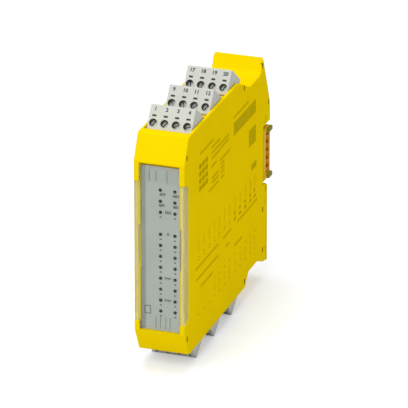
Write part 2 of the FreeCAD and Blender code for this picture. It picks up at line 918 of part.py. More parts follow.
def beside(points, offset):
    """The line that runs beside an open line of (x, height) points, to its left, with mitred turns."""
    normals = []
    for (x0, h0), (x1, h1) in zip(points, points[1:]):
        length = math.hypot(x1 - x0, h1 - h0)
        normals.append(((h0 - h1) / length, (x1 - x0) / length))
    line = []
    for (x, h), (ax, ah), (bx, bh) in zip(points, normals[:1] + normals, normals + normals[-1:]):
        scale = offset / (1 + ax * bx + ah * bh)
        line.append((x + (ax + bx) * scale, h + (ah + bh) * scale))
    return line


def foot_spring():
    """A strip of spring steel folded in a zigzag between the post and the foot's head."""
    low, high = stem_span()
    half = spring_sheet / 2
    bottom, top = low + spring_post_rise + half, high - spring_ceiling - half
    step = (top - bottom) / spring_folds
    swing = spring_post_half - spring_sheet
    turns = [(-swing, bottom)]
    turns += [(-swing if i % 2 else swing, bottom + i * step) for i in range(spring_folds + 1)]
    turns.append((-turns[-1][0], top))
    front = spring_axis() - spring_strip_width / 2
    rim = [at(x, front, h) for x, h in beside(turns, half) + beside(turns, -half)[::-1]]
    return Part.Face(Part.makePolygon(rim + rim[:1])).extrude(Vector(0, spring_strip_width, 0))


# ---- bus connector ----

def bus_heights():
    return [rail_height + (i - (bus_poles - 1) / 2) * bus_pitch for i in range(bus_poles)]


def bus_tab_spans(grow):
    """The lowest and highest edge of the two locating tabs."""
    near = bus_pitch * bus_poles / 2 + bus_tab_inset - grow
    far = bus_height / 2 - bus_tab_inset + grow
    return [(rail_height + near, rail_height + far), (rail_height - far, rail_height - near)]


def bus_body():
    low, high = rail_height - bus_height / 2, rail_height + bus_height / 2
    body = prism([(bus_front, low, 0.5), (bus_back, low, 1.0), (bus_back, high, 1.0), (bus_front, high, 0.5)],
                 -bus_half, bus_half)
    nose = block(-bus_nose_width / 2, bus_nose_width / 2, bus_front - bus_nose_length, bus_front,
                 rail_height - bus_nose_height / 2, rail_height + bus_nose_height / 2)
    start = front_to_seat + bus_tab_start
    tabs = [block(bus_half, bus_half + bus_tab, start, bus_back, h0, h1) for h0, h1 in bus_tab_spans(0)]
    body = fused([body, nose] + tabs)
    reach = bus_pitch * bus_poles / 2
    window = block(bus_half - bus_window_depth, bus_half + 1, front_to_seat + bus_edge, bus_back - bus_edge,
                   rail_height - reach, rail_height + reach)
    room_end = -bus_half + bus_tab + bus_tab_play
    tab_rooms = [block(-bus_half - 1, room_end, start - bus_tab_play, bus_back + 1, h0, h1)
                 for h0, h1 in bus_tab_spans(bus_tab_play)]
    slits = [block(-bus_half - 1, -bus_half + contact_slit_depth, front_to_seat + blade_start,
                   bus_back - blade_start, h - contact_slit_half, h + contact_slit_half)
             for h in bus_heights()]
    return body.cut([window] + tab_rooms + slits)


def bus_contacts():
    """Five spring contacts, each bowed outwards so that it presses on its neighbour's."""
    floor = bus_half - bus_window_depth
    crest = bus_half + blade_proud
    middle = (front_to_seat + bus_back) / 2
    front, back = front_to_seat + blade_start, bus_back - blade_start
    inner_flat = blade_flat - blade_proud / 2
    bow = [(floor, front), (crest, middle - blade_flat), (crest, middle + blade_flat), (floor, back),
           (floor, back - blade_foot), (crest - blade_sheet, middle + inner_flat),
           (crest - blade_sheet, middle - inner_flat), (floor, front + blade_foot)]
    blades = []
    for h in bus_heights():
        rim = [at(x, d, h - blade_half) for x, d in bow]
        blades.append(Part.Face(Part.makePolygon(rim + rim[:1])).extrude(Vector(0, 0, 2 * blade_half)))
    return Part.makeCompound(blades)


# ---- all pieces ----

def main():
    os.makedirs("parts", exist_ok=True)
    save("housing_shell", housing_shell())
    save("side_cover", side_cover())
    save("front_cover", front_cover())
    save("front_label", front_label())
    for side, x in zip(("left", "right"), led_columns):
        save("light_guide_" + side, light_guide(x))
    save("led_board", led_board())
    save("leds", leds())
    save("main_board", main_board())
    save("logic_board", logic_board())
    save("board_link", board_link())
    save("bus_socket", bus_socket())
    for i in range(relay_count):
        save(f"relay_{i + 1}", relay(i))
    save("transformer", transformer())
    save("capacitors", capacitors())
    save("choke", choke())
    for letter, bottom in zip("ab", chip_bottoms):
        save("processor_" + letter, processor(bottom))
    save("optocouplers", optocouplers())
    for i in range(plug_rows):
        pieces = {"plug": plug_body(), "clamp_screws": clamp_screws(i), "wire_clamps": wire_clamps(),
                  "pin_header": pin_header(), "header_pins": header_pins()}
        for name, shape in pieces.items():
            save(f"{name}_top_{i + 1}", tilted(shape, i))
            save(f"{name}_bottom_{i + 1}", mirrored(tilted(shape, i)))
    save("rail_foot", rail_foot())
    save("foot_spring", foot_spring())
    save("bus_connector", bus_body())
    save("bus_contacts", bus_contacts())


main()
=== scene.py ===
import json
import math

import bpy
from mathutils import Matrix, Vector


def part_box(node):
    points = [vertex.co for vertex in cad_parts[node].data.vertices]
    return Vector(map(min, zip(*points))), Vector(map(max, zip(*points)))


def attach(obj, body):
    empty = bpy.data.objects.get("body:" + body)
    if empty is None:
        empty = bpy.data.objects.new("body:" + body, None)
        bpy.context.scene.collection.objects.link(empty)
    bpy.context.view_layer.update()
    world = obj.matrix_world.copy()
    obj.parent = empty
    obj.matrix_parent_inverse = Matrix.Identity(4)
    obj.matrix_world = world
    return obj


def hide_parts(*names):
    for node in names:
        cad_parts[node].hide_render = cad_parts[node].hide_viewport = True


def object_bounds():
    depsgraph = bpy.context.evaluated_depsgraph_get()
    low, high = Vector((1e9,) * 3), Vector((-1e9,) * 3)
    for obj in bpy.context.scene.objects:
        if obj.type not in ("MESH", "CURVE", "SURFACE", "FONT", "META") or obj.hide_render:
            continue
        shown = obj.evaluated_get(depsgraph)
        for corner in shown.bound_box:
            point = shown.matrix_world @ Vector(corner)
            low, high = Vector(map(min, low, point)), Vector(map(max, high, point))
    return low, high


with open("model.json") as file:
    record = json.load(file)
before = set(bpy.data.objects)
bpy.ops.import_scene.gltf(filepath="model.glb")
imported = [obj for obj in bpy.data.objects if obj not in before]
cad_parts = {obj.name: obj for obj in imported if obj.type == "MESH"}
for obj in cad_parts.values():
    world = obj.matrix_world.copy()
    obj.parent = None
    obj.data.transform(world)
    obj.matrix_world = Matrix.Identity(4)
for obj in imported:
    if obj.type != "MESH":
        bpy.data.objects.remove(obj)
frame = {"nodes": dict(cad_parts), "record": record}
CAD_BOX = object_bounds()

MM = 0.001
RECORD_SLOTS = {part["node"]: part["material_slot"] for part in frame["record"]["subparts"]}

# Unless a line says otherwise, sizes are in millimetres and colours are linear red, green and blue.
# Places on the front and the side are depths from the front face and heights from the bottom edge.

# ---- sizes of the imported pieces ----

FRONT = 107.5
BOTTOM = 51.8
ROWS = (1, 2, 3)
POLES = (-7.5, -2.5, 2.5, 7.5)
PLUG_TILT = math.radians(37)
PLUG_FACE = 11.4
PLUG_CHAMFER = 0.5
LED_COLUMNS = (0.0, 6.4)
LED_HEIGHTS = [75.4 - 5.0 * row for row in (0, 1, 2, 4, 5, 6, 7, 8, 9, 10, 11)]

# The crest over the rail: its tip, the next corners each way, and its rounding
CREST = (104.0, 98.3)
CREST_FORE = (100.4, 91.5)
CREST_AFT = (107.8, 89.3)
CREST_RADIUS = 1.2
CREST_TOLERANCE = 0.03
EDGE_CHAMFER = 0.35

# ---- sizes of the pieces made here ----

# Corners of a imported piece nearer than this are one, and the bus springs have edges rounded this much
MERGE_DISTANCE = 0.001
SPRING_EDGE = 0.12

# Screws, the collars of their holes and the dark wells below, which are painted shade on the holes'
# walls; levels run up the plug's face
SCREW_LEVEL = 3.3
SCREW_RECESS = 1.6
SCREW_RADIUS = 1.6
SCREW_LENGTH = 3.0
SCREW_SIDES = 32
SCREW_EDGE = 0.12
SLOT_WIDTH = 0.62
SLOT_DEPTH = 0.9
SCREW_TURNS = (60, 55, 35, 15, 95, 70, 60, 62, 125, 110, 45, 60)
COLLAR_RADIUS = 2.05
COLLAR_BORE = 1.70
COLLAR_WALL = 0.1
COLLAR_EDGE = 0.05
COLLAR_SIDES = 40
WELL_DEPTH = 1.5
WELL_WALL = 0.04

# Numbers on the plugs. A numeral's height is a share of the type size, and its strokes are swollen
NUMBER_LEVEL = 9.3
NUMBER_HEIGHT = 1.6
NUMERAL_SHARE = 0.7
NUMERAL_SWELL = 0.08
NUMERAL_STEPS = 3

# Lenses over the light guides
LENS_RADIUS = 0.78
LENS_HEIGHT = 0.16
LENS_SIDES = 28
LENS_EDGE = 0.08

# Thickness of each layer of print and of the painted slot shadows, and the rounding of its corners
PLUG_INK = 0.05
LABEL_INK = 0.04
SIDE_INK = 0.03
SLOT_SHADOW_SHEET = 0.06
PLUG_CORNER = 0.08
LABEL_CORNER = 0.06
SIDE_CORNER = 0.12
SLOT_CORNER = 0.2

# Print is given as rectangles: left, bottom, right, top. These lie about the middle of what they mark
# TEST_SLOT is not print: it is a dark sheet over each test slot, painted shade of its opening.
TEST_SLOT_LEVEL = 6.4
TEST_SLOT = (-0.9, -0.42, 0.75, 0.42)
LED_DASH = (-0.35, -2.5, 0.45, -1.9)
# SNAP_SLOT is not print: it is a dark sheet of painted shadow in each snap slot.
SNAP_SLOT = (-0.45, -1.15, 0.45, 1.15)

# Captions on the label: a rectangle and the number of strokes that fill it
CAPTIONS = (
    (0.1, 73.0, 2.4, 74.3, 3), (5.6, 72.8, 8.3, 74.1, 4), (-0.5, 68.0, 2.0, 69.3, 4),
    (5.7, 67.9, 8.2, 69.2, 4), (2.1, 64.9, 4.9, 66.3, 4), (1.8, 35.2, 4.7, 36.2, 4),
    (1.8, 25.1, 4.7, 26.1, 4), (2.9, 55.2, 4.0, 56.4, 2), (-2.2, 12.4, -1.8, 17.8, 1),
    (-0.3, 12.4, 0.1, 17.8, 1), (2.1, 12.4, 2.5, 17.8, 1), (4.0, 12.4, 4.4, 17.8, 1),
    (-5.0, 79.0, -4.6, 84.0, 1), (-2.0, 79.0, -1.6, 84.0, 1), (2.8, 79.0, 3.2, 84.0, 1),
)
CAPTION_SHARE = 0.6
HOLLOW_SQUARE = (-7.2, 18.5, -4.4, 22.3)
HOLLOW_LINE = 0.3

# Lines of print on the side: left, right and the height of the middle
SIDE_LINES = (
    (20, 37.5, 86), (35, 46, 83), (35, 46, 80.5), (35, 46, 78), (46, 58, 80.5), (46, 58, 78.5),
    (34, 41.5, 74.5), (46, 59, 73), (35, 44, 69), (35, 44, 67), (31, 44, 64.5), (47, 52, 71),
    (47, 52, 69), (47, 52, 67), (47, 52, 64.5), (64, 84, 85.5), (14, 44, 35.5), (50, 61, 35.5),
    (69, 96, 35.5), (15, 44, 30.3), (53.5, 58.5, 30.3), (20.5, 36.5, 25.3), (65, 75.5, 25.8),
)
LINE_RISE = 0.65
STROKE_PITCH = 0.95
STROKE_SHARE = 0.62

# Columns of print on the side: their depths, and the marks of each, left and right of its depth
SIDE_COLUMNS = (18.0, 25.0, 32.0, 39.0, 45.0, 52.0, 58.5, 66.0, 73.0, 80.0, 87.0, 93.0)
UPPER_MARKS = ((-0.25, 42.5, 0.25, 48.0), (-1.1, 38.6, 0.9, 39.1), (-1.1, 40.0, 0.5, 40.5))
REAR_MARKS = ((-1.8, 37.6, 1.4, 38.5), (-1.8, 40.8, 0.6, 41.8))
REAR_MARKS_FROM = 65
LOWER_MARKS = ((-0.6, 21.3, 0.6, 22.1), (-0.2, 15.2, 0.2, 19.5))
LOWER_MARKS_FROM = 35
FOOT_MARK = (-0.45, 13.0, 0.45, 14.0)

# The square of small blocks on the side: its first block, and the steps across and up
BLOCK_MARK = (18.6, 69.2, 21.9, 71.5)
BLOCK_STEPS = (4.0, 3.3)
BLOCK_COUNTS = (3, 4)

SIDE_FIELDS = ((64, 77, 83, 83), (83.4, 77, 94, 83), (84.5, 63.5, 94, 71.5), (88, 51.5, 95, 54.5))
# Depths and heights of the snap slots, where dark sheets of painted shadow lie
SNAP_SLOTS = ((3.0, 90.6), (3.0, 8.4), (79.2, 3.2), (78.0, 93.9), (103.1, 94.8), (104.0, 8.0),
              (104.0, 27.3), (111.6, 75.0))

# ---- colours, lamps and camera ----

YELLOW = (0.96, 0.68, 0.001)
PLUG_GREY = (0.60, 0.61, 0.56)
LABEL_GREY = (0.56, 0.568, 0.515)
FLOOR_GREY = (0.72, 0.75, 0.81)
BOARD_GREENS = ((0.01, 0.09, 0.03), (0.02, 0.15, 0.05))
SHADOW_TINT = (0.90, 0.91, 0.89, 1)

# The dark column at the left of the label and the dark field at its top: where each fades in or out
LABEL_COLUMN = (-7.0, -6.2)
LABEL_HEAD = (77.8, 78.4)

# Cosines between the rounded and the flat normal, from a full edge to none, for the mask of the painted
# edge highlight
EDGE_COSINES = (0.78, 0.96)

# Floor, lamps (name, place, size, power) and camera, in metres and watts
FLOOR_SIZE = 12
FLOOR_GLOW = 0.35
WORLD_LIGHT = 0.60
LAMPS = (("key lamp", (-0.2, -1.05, 0.95), 1.0, 7.5), ("top lamp", (-0.1, 0.1, 1.3), 0.9, 6))
LAMP_AIM = (0, -0.05, 0)

CAMERA_AIM = Vector((12.63, -86.73, 11.41)) * MM
CAMERA_AZIMUTH = math.radians(18.87)
CAMERA_ELEVATION = math.radians(22.88)
CAMERA_DISTANCE = 2.104
CAMERA_REACH = 20
CAMERA_LENS = 442.9
CAMERA_SENSOR = 36

# Turns a flat sheet, x to the right and y up, so that it stands up and faces the front
UPRIGHT = Matrix.Rotation(math.radians(90), 4, "X")


# ---- working in object and edit mode ----

def deselect():
    bpy.ops.object.select_all(action="DESELECT")


def chosen(piece):
    """Selects this piece alone and makes it the active one."""
    deselect()
    piece.select_set(True)
    bpy.context.view_layer.objects.active = piece
    return piece


def settle(piece):
    """Puts the piece's place, turn and size into its mesh."""
    chosen(piece)
    bpy.ops.object.transform_apply(location=True, rotation=True, scale=True)
    return piece


def edit(piece):
    """Enters edit mode on this piece with all of it selected."""
    chosen(piece)
    bpy.ops.object.mode_set(mode="EDIT")
    bpy.ops.mesh.select_all(action="SELECT")


def leave():
    bpy.ops.object.mode_set(mode="OBJECT")


def worked(piece, kind, **values):
    """The piece with a modifier of this kind applied to it."""
    modifier = piece.modifiers.new(kind.lower(), kind)
    for key, value in values.items():
        setattr(modifier, key, value)
    chosen(piece)
    bpy.ops.object.modifier_apply(modifier=modifier.name)
    return piece


def rounded(piece, width, angle=30):
    """Rounds every edge sharper than the angle, in degrees."""
    return worked(piece, "BEVEL", width=width * MM, segments=2, limit_method="ANGLE",
                  angle_limit=math.radians(angle))


def thickened(piece, thickness):
    """Gives a flat piece this thickness, half above and half below its plane."""
    return worked(piece, "SOLIDIFY", thickness=thickness * MM, offset=0)


def smoothed(piece, angle=35):
    chosen(piece)
    bpy.ops.object.shade_smooth_by_angle(angle=math.radians(angle))
    return piece


def joined(name, pieces):
    deselect()
    for piece in pieces:
        piece.select_set(True)
    bpy.context.view_layer.objects.active = pieces[0]
    bpy.ops.object.join()
    whole = bpy.context.object
    whole.name = name
    return whole


def placed(piece, matrix):
    piece.matrix_world = matrix
    return settle(piece)


def copied(piece, name, matrix):
    """A copy with its own mesh, moved by the matrix."""
    twin = piece.copy()
    twin.data = piece.data.copy()
    twin.name = name
    bpy.context.scene.collection.objects.link(twin)
    return placed(twin, matrix)


def node_copied(node, name):
    """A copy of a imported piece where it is, with its doubled corners merged."""
    twin = copied(frame["nodes"][node], name, Matrix.Identity(4))
    edit(twin)
    bpy.ops.mesh.remove_doubles(threshold=MERGE_DISTANCE * MM)
    leave()
    return twin


def at(x, y, z=0.0):
    return Matrix.Translation(Vector((x, y, z)) * MM)


def fitted(piece, body, slot, finish=None):
    """Gives the piece its body and its finish, which is the slot's own unless another is named."""
    piece.data.materials.clear()
    piece.data.materials.append(FINISHES[finish or slot])
    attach(piece, body)
    return piece


# ---- print ----

def shifted(span, x, y):
    left, bottom, right, top = span
    return left + x, bottom + y, right + x, top + y


def strokes(left, bottom, right, top, count, share):
    """A word's worth of plain strokes that fill the place of a small caption."""
    step = (right - left) / count
    return [(left + i * step, bottom, left + (i + share) * step, top) for i in range(count)]


def printed_marks(name, spans, thickness, corner, matrix):
    """Rectangles with rounded corners and the thickness of a layer of ink."""
    plates = []
    for left, bottom, right, top in spans:
        deselect()
        middle = ((left + right) / 2 * MM, (bottom + top) / 2 * MM, 0)
        bpy.ops.mesh.primitive_plane_add(size=1, location=middle)
        plate = bpy.context.object
        plate.scale = ((right - left) * MM, (top - bottom) * MM, 1)
        plates.append(plate)
    sheet = settle(joined(name, plates))
    edit(sheet)
    bpy.ops.mesh.bevel(affect="VERTICES", offset=corner * MM, segments=2, clamp_overlap=True)
    leave()
    return placed(thickened(sheet, thickness), matrix)


def numerals(name, words, height, thickness, matrix):
    """Numbers given as (text, x, y), of this height, as thin raised plates."""
    plates = []
    for text, x, y in words:
        deselect()
        bpy.ops.object.text_add(location=(x * MM, y * MM, 0))
        plate = bpy.context.object
        plate.data.body = text
        plate.data.size = height / NUMERAL_SHARE * MM
        plate.data.align_x = "CENTER"
        plate.data.align_y = "CENTER"
        plate.data.resolution_u = NUMERAL_STEPS
        plate.data.extrude = thickness / 2 * MM
        plate.data.offset = NUMERAL_SWELL * MM
        bpy.ops.object.convert(target="MESH")
        plates.append(bpy.context.object)
    return placed(settle(joined(name, plates)), matrix)


# ---- materials ----

class Finish:
    """A material and the nodes that a finish is put together from."""

    # Numbers of the colour sockets on a mix node
    FIRST, SECOND, RESULT = 6, 7, 2

    def __init__(self, name, gloss=None):
        self.material = bpy.data.materials.new(name)
        self.material.use_nodes = True
        self.tree = self.material.node_tree
        self.shader = self.tree.nodes["Principled BSDF"]
        self.surface = self.tree.nodes["Material Output"].inputs["Surface"]
        self.place = self.node("ShaderNodeTexCoord").outputs["Object"]
        if gloss is not None:
            self.fix("Specular IOR Level", gloss)

    def node(self, kind, **values):
        made = self.tree.nodes.new(kind)
        for key, value in values.items():
            setattr(made, key, value)
        return made

    def link(self, source, target):
        self.tree.links.new(source, target)

    def fix(self, socket, value):
        self.shader.inputs[socket].default_value = value

    def feed(self, socket, source):
        self.link(source, self.shader.inputs[socket])

    def axis(self, letter):
        """The object's own X, Y or Z at each point, in metres."""
        axes = self.node("ShaderNodeSeparateXYZ")
        self.link(self.place, axes.inputs[0])
        return axes.outputs[letter]

    def path(self, kind):
        return self.node("ShaderNodeLightPath").outputs[kind]

    def computed(self, operation, first, second=0.0):
        """This operation on an output and, where it takes two, another output or a number."""
        made = self.node("ShaderNodeMath", operation=operation)
        self.link(first, made.inputs[0])
        if isinstance(second, float):
            made.inputs[1].default_value = second
        else:
            self.link(second, made.inputs[1])
        return made.outputs[0]

    def noise(self, size, detail=2.0, stretch=(1, 1, 1)):
        """Noise with grains of about this size in metres, stretched along the axes."""
        mapping = self.node("ShaderNodeMapping")
        mapping.inputs["Scale"].default_value = [1 / (size * s) for s in stretch]
        self.link(self.place, mapping.inputs["Vector"])
        noise = self.node("ShaderNodeTexNoise")
        noise.inputs["Scale"].default_value = 1.0
        noise.inputs["Detail"].default_value = detail
        self.link(mapping.outputs["Vector"], noise.inputs["Vector"])
        return noise.outputs["Fac"]

    def span(self, value, low, high, start=0.3, end=0.7):
        """The value's run from start to end, stretched to run from low to high."""
        ranged = self.node("ShaderNodeMapRange")
        ranged.inputs["From Min"].default_value = start
        ranged.inputs["From Max"].default_value = end
        ranged.inputs["To Min"].default_value = low
        ranged.inputs["To Max"].default_value = high
        self.link(value, ranged.inputs["Value"])
        return ranged.outputs["Result"]

    def blend(self, factor, first, second):
        """Mixes two colours, each a tuple or an output, by a number or an output."""
        mix = self.node("ShaderNodeMix", data_type="RGBA")
        for number, value in ((0, factor), (self.FIRST, first), (self.SECOND, second)):
            if isinstance(value, tuple):
                mix.inputs[number].default_value = (*value, 1)
            elif isinstance(value, float):
                mix.inputs[number].default_value = value
            else:
                self.link(value, mix.inputs[number])
        return mix.outputs[self.RESULT]

    def mottled(self, pattern, colour, low, high):
        """The colour, from one share of itself to another as the pattern rises."""
        return self.blend(self.span(pattern, 0, 1), scaled(colour, low), scaled(colour, high))

    def edge_highlight(self, radius):
        """A normal rounded at the edges, and a factor that is 1 on sharp edges and 0 on flat faces,
        which masks a painted highlight on the edges.
        """
        bevel = self.node("ShaderNodeBevel", samples=6)
        bevel.inputs["Radius"].default_value = radius
        dot = self.node("ShaderNodeVectorMath", operation="DOT_PRODUCT")
        self.link(bevel.outputs["Normal"], dot.inputs[0])
        self.link(self.node("ShaderNodeNewGeometry").outputs["True Normal"], dot.inputs[1])
        return bevel.outputs["Normal"], self.span(dot.outputs["Value"], 1.0, 0.0, *EDGE_COSINES)

    def bump(self, height, depth, strength, normal=None):
        bump = self.node("ShaderNodeBump")
        bump.inputs["Distance"].default_value = depth
        bump.inputs["Strength"].default_value = strength
        self.link(height, bump.inputs["Height"])
        if normal is not None:
            self.link(normal, bump.inputs["Normal"])
        self.feed("Normal", bump.outputs["Normal"])


def scaled(colour, by):
    return tuple(min(1.0, c * by) for c in colour)


def moulded(name, colour, roughness=0.42, gloss=0.4, edge=0.22, edge_highlight_gain=1.12):
    """Moulded plastic: a fine eroded grain, faint flow clouds, and a painted highlight that lightens the
    colour on sharp edges.
    """
    finish = Finish(name, gloss)
    clouds = finish.noise(14 * MM, 3.0)
    grain = finish.noise(0.35 * MM)
    body = finish.mottled(clouds, colour, 0.97, 1.02)
    fine = finish.span(grain, 0, 1, 0.25, 0.75)
    specks = finish.blend(fine, scaled(colour, 0.94), scaled(colour, 1.03))
    base = finish.blend(0.35, body, specks)
    normal, rim = finish.edge_highlight(edge * MM)
    # The colour is painted lighter on sharp edges: a painted highlight.
    finish.feed("Base Color", finish.blend(rim, base, scaled(colour, edge_highlight_gain)))
    finish.feed("Roughness", finish.span(grain, roughness - 0.05, roughness + 0.06))
    finish.bump(grain, 0.006 * MM, 0.6, normal)
    return finish.material


def clear_plastic(name, tint, roughness, haze, ior=1.12, walls=None):
    """Clear moulded plastic. Light passes it, so that what lies behind is lit.

    Walls gives (half width, haze, tint) of its outer walls. Their tint is painted: it stands in for the
    yellow of the housing round them, seen through the clear plastic."""
    finish = Finish(name)
    ripple = finish.noise(9 * MM, 1.0)
    base = finish.mottled(ripple, tint, 1.0, 0.97)
    finish.fix("Transmission Weight", 1 - haze)
    if walls:
        half_width, wall_haze, painted_housing_tint = walls
        outward = finish.computed("ABSOLUTE", finish.axis("X"))
        wall = finish.span(outward, 0, 1, half_width * MM, (half_width + 0.4) * MM)
        # The walls' tint is painted: the yellow of the housing behind them, seen through the clear
        # plastic.
        base = finish.blend(wall, base, painted_housing_tint)
        finish.feed("Transmission Weight", finish.span(wall, 1 - haze, 1 - wall_haze, 0, 1))
    finish.feed("Base Color", base)
    finish.feed("Roughness", finish.span(finish.noise(1.2 * MM), roughness, roughness + 0.04))
    finish.fix("IOR", ior)
    finish.fix("Coat Weight", 0.12)
    finish.fix("Coat Roughness", 0.08)
    finish.bump(ripple, 0.02 * MM, 0.3)
    passing = finish.node("ShaderNodeBsdfTransparent")
    passing.inputs["Color"].default_value = SHADOW_TINT
    mix = finish.node("ShaderNodeMixShader")
    finish.link(finish.path("Is Shadow Ray"), mix.inputs["Fac"])
    finish.link(finish.shader.outputs["BSDF"], mix.inputs[1])
    finish.link(passing.outputs["BSDF"], mix.inputs[2])
    finish.link(mix.outputs["Shader"], finish.surface)
    return finish.material


def metal(name, colour, roughness, brush=(1, 1, 1)):
    """Metal with fine streaks, drawn out along the axes by the brush."""
    finish = Finish(name)
    streaks = finish.noise(0.2 * MM, 3.0, brush)
    finish.feed("Base Color", finish.mottled(streaks, colour, 0.85, 1.05))
    finish.feed("Roughness", finish.span(streaks, roughness - 0.08, roughness + 0.1))
    finish.fix("Metallic", 1.0)
    normal, _ = finish.edge_highlight(0.08 * MM)
    finish.bump(streaks, 0.004 * MM, 0.5, normal)
    return finish.material


def printed(name, colour, gloss=0.1):
    """Ink: an even colour with a faint halftone."""
    finish = Finish(name, gloss)
    dots = finish.noise(0.3 * MM, 1.0)
    finish.feed("Base Color", finish.mottled(dots, colour, 0.95, 1.04))
    finish.feed("Roughness", finish.span(finish.noise(3 * MM), 0.46, 0.54))
    finish.bump(dots, 0.002 * MM, 0.4)
    return finish.material


def label_film(name, colour):
    """The printed film behind the cover, darker in a column at its left edge and a field at its top."""
    finish = Finish(name, 0.1)
    dots = finish.noise(0.3 * MM, 1.0)
    base = finish.mottled(dots, colour, 0.96, 1.03)
    column = finish.span(finish.axis("X"), 0.82, 0.0, *(x * MM for x in LABEL_COLUMN))
    base = finish.blend(column, base, scaled(colour, 0.55))
    head = finish.span(finish.axis("Z"), 0.0, 0.3, *((height - BOTTOM) * MM for height in LABEL_HEAD))
    finish.feed("Base Color", finish.blend(head, base, scaled(colour, 0.8)))
    finish.feed("Roughness", finish.span(finish.noise(3 * MM), 0.46, 0.54))
    finish.bump(dots, 0.002 * MM, 0.4)
    return finish.material


def colour_split_on_x(name, inner, outer, edge):
    """Moulded plastic whose parts beyond this distance to the right are of the outer colour."""
    finish = Finish(name, 0.1)
    grain = finish.noise(0.35 * MM)
    tones = [finish.mottled(grain, tone, 0.94, 1.04) for tone in (inner, outer)]
    beyond = finish.span(finish.axis("X"), 0, 1, edge * MM, (edge + 0.05) * MM)
    finish.feed("Base Color", finish.blend(beyond, *tones))
    finish.feed("Roughness", finish.span(grain, 0.45, 0.55))
    finish.bump(grain, 0.006 * MM, 0.5)
    return finish.material


def circuit_board(name):
    """Green solder mask over a weave of glass cloth."""
    finish = Finish(name)
    weave = finish.node("ShaderNodeTexWave", wave_type="BANDS", bands_direction="Z")
    weave.inputs["Scale"].default_value = 300
    finish.link(finish.place, weave.inputs["Vector"])
    finish.feed("Base Color", finish.blend(finish.span(finish.noise(6 * MM), 0, 1), *BOARD_GREENS))
    finish.fix("Roughness", 0.3)
    finish.bump(weave.outputs["Fac"], 0.01 * MM, 0.4)
    return finish.material


FINISHES = {
    # The housing's sharp edges are painted much lighter: a painted highlight.
    "housing_plastic": moulded("yellow housing plastic", YELLOW, 0.55, gloss=0.0, edge=0.4,
                               edge_highlight_gain=1.35),
    # The last value of walls is a painted yellow: the housing seen through the cover's walls.
    "clear_cover": clear_plastic("clear cover plastic", (0.77, 0.80, 0.79), roughness=0.06, haze=0.03,
                                 ior=1.08, walls=(9.3, 0.38, (0.84, 0.80, 0.40))),
    "label": label_film("grey label film", LABEL_GREY),
    "light_guide": clear_plastic("light guide plastic", (0.80, 0.83, 0.82), roughness=0.08, haze=0.3),
    "circuit_board": circuit_board("green circuit board"),
    "terminal_plastic": moulded("grey terminal plastic", PLUG_GREY, 0.5, gloss=0.2, edge_highlight_gain=1.15),
    "header_plastic": moulded("grey header plastic", scaled(PLUG_GREY, 0.9), 0.5, gloss=0.2),
    "steel": metal("zinc-plated steel", (0.36, 0.37, 0.34), 0.5),
    "contact_metal": metal("plated contact strip", (0.75, 0.26, 0.02), 0.5),
    "relay_case": moulded("relay case plastic", (0.72, 0.71, 0.62), 0.3),
    "black_plastic": moulded("black moulding compound", (0.02, 0.02, 0.022), 0.5),
    # Beyond the edge, where the tabs are, the plastic is given the darker olive colour.
    "connector_plastic": colour_split_on_x("connector plastic", (0.80, 0.50, 0.01), (0.26, 0.26, 0.02),
                                  edge=11.3),
    "ferrite": moulded("sintered ferrite", (0.035, 0.035, 0.035), 0.6),
    "aluminium_can": metal("drawn aluminium can", (0.75, 0.76, 0.78), 0.25),
    "copper_winding": metal("enamelled copper wire", (0.70, 0.30, 0.12), 0.3, brush=(0.4, 6, 6)),
    # This ink prints the numbers and also paints the shade of the test slots.
    "number_ink_and_slot_shade": printed("dark grey numbers and slot shade", (0.05, 0.05, 0.055)),
    "label_ink": printed("grey label ink", (0.075, 0.085, 0.08)),
    "side_ink": printed("laser marks on yellow", scaled(YELLOW, 0.60), gloss=0.0),
    "dark_side_ink": printed("laser fields on yellow", (0.60, 0.45, 0.003), gloss=0.0),
    "lens": moulded("dark light lens", (0.006, 0.008, 0.006), 0.5, gloss=0.05),
    # Painted shadow: a dark sheet laid in the snap slots.
    "slot_shadow": moulded("painted snap slot shadow", (0.10, 0.065, 0.002), 0.6, gloss=0.0),
    # Painted shade: the dark lining of the screw holes.
    "painted_hole_shade": moulded("painted screw hole shade", (0.11, 0.12, 0.09), 0.6),
}


def dress_frame():
    for name, node in frame["nodes"].items():
        node.data.materials.clear()
        node.data.materials.append(FINISHES[RECORD_SLOTS[name]])


# ---- terminals ----

def plug_frames():
    """For each plug: its name, its first number, and the frame of its face, in metres."""
    up, inward = math.cos(PLUG_TILT), math.sin(PLUG_TILT)
    middle = (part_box("plug_bottom_1")[0].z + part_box("plug_top_1")[1].z) / 2
    over = (Matrix.Translation((0, 0, middle)) @ Matrix.Rotation(math.pi, 4, "Y")
            @ Matrix.Translation((0, 0, -middle)))
    for row in ROWS:
        near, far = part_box(f"plug_top_{row}")
        corner = Vector((0, near.y - PLUG_CHAMFER * inward * MM,
                         far.z - (PLUG_FACE * up - PLUG_CHAMFER * inward) * MM))
        face = Matrix.Translation(corner) @ Matrix.Rotation(-PLUG_TILT, 4, "X") @ UPRIGHT
        first = 1 + 2 * len(POLES) * (row - 1)
        yield f"top_{row}", first, face
        yield f"bottom_{row}", first + len(POLES), over @ face


def clamp_screw():
    """A slotted screw head on its shank, with its face at zero height."""
    deselect()
    bpy.ops.mesh.primitive_cylinder_add(vertices=SCREW_SIDES, radius=SCREW_RADIUS * MM,
                                        depth=SCREW_LENGTH * MM, location=(0, 0, -SCREW_LENGTH / 2 * MM))
    screw = settle(bpy.context.object)
    deselect()
    bpy.ops.mesh.primitive_cube_add(size=1)
    cutter = bpy.context.object
    cutter.scale = Vector((4 * SCREW_RADIUS, SLOT_WIDTH, 2 * SLOT_DEPTH)) * MM
    settle(cutter)
    worked(screw, "BOOLEAN", operation="DIFFERENCE", solver="EXACT", object=cutter)
    bpy.data.objects.remove(cutter)
    return smoothed(rounded(screw, SCREW_EDGE, 50))


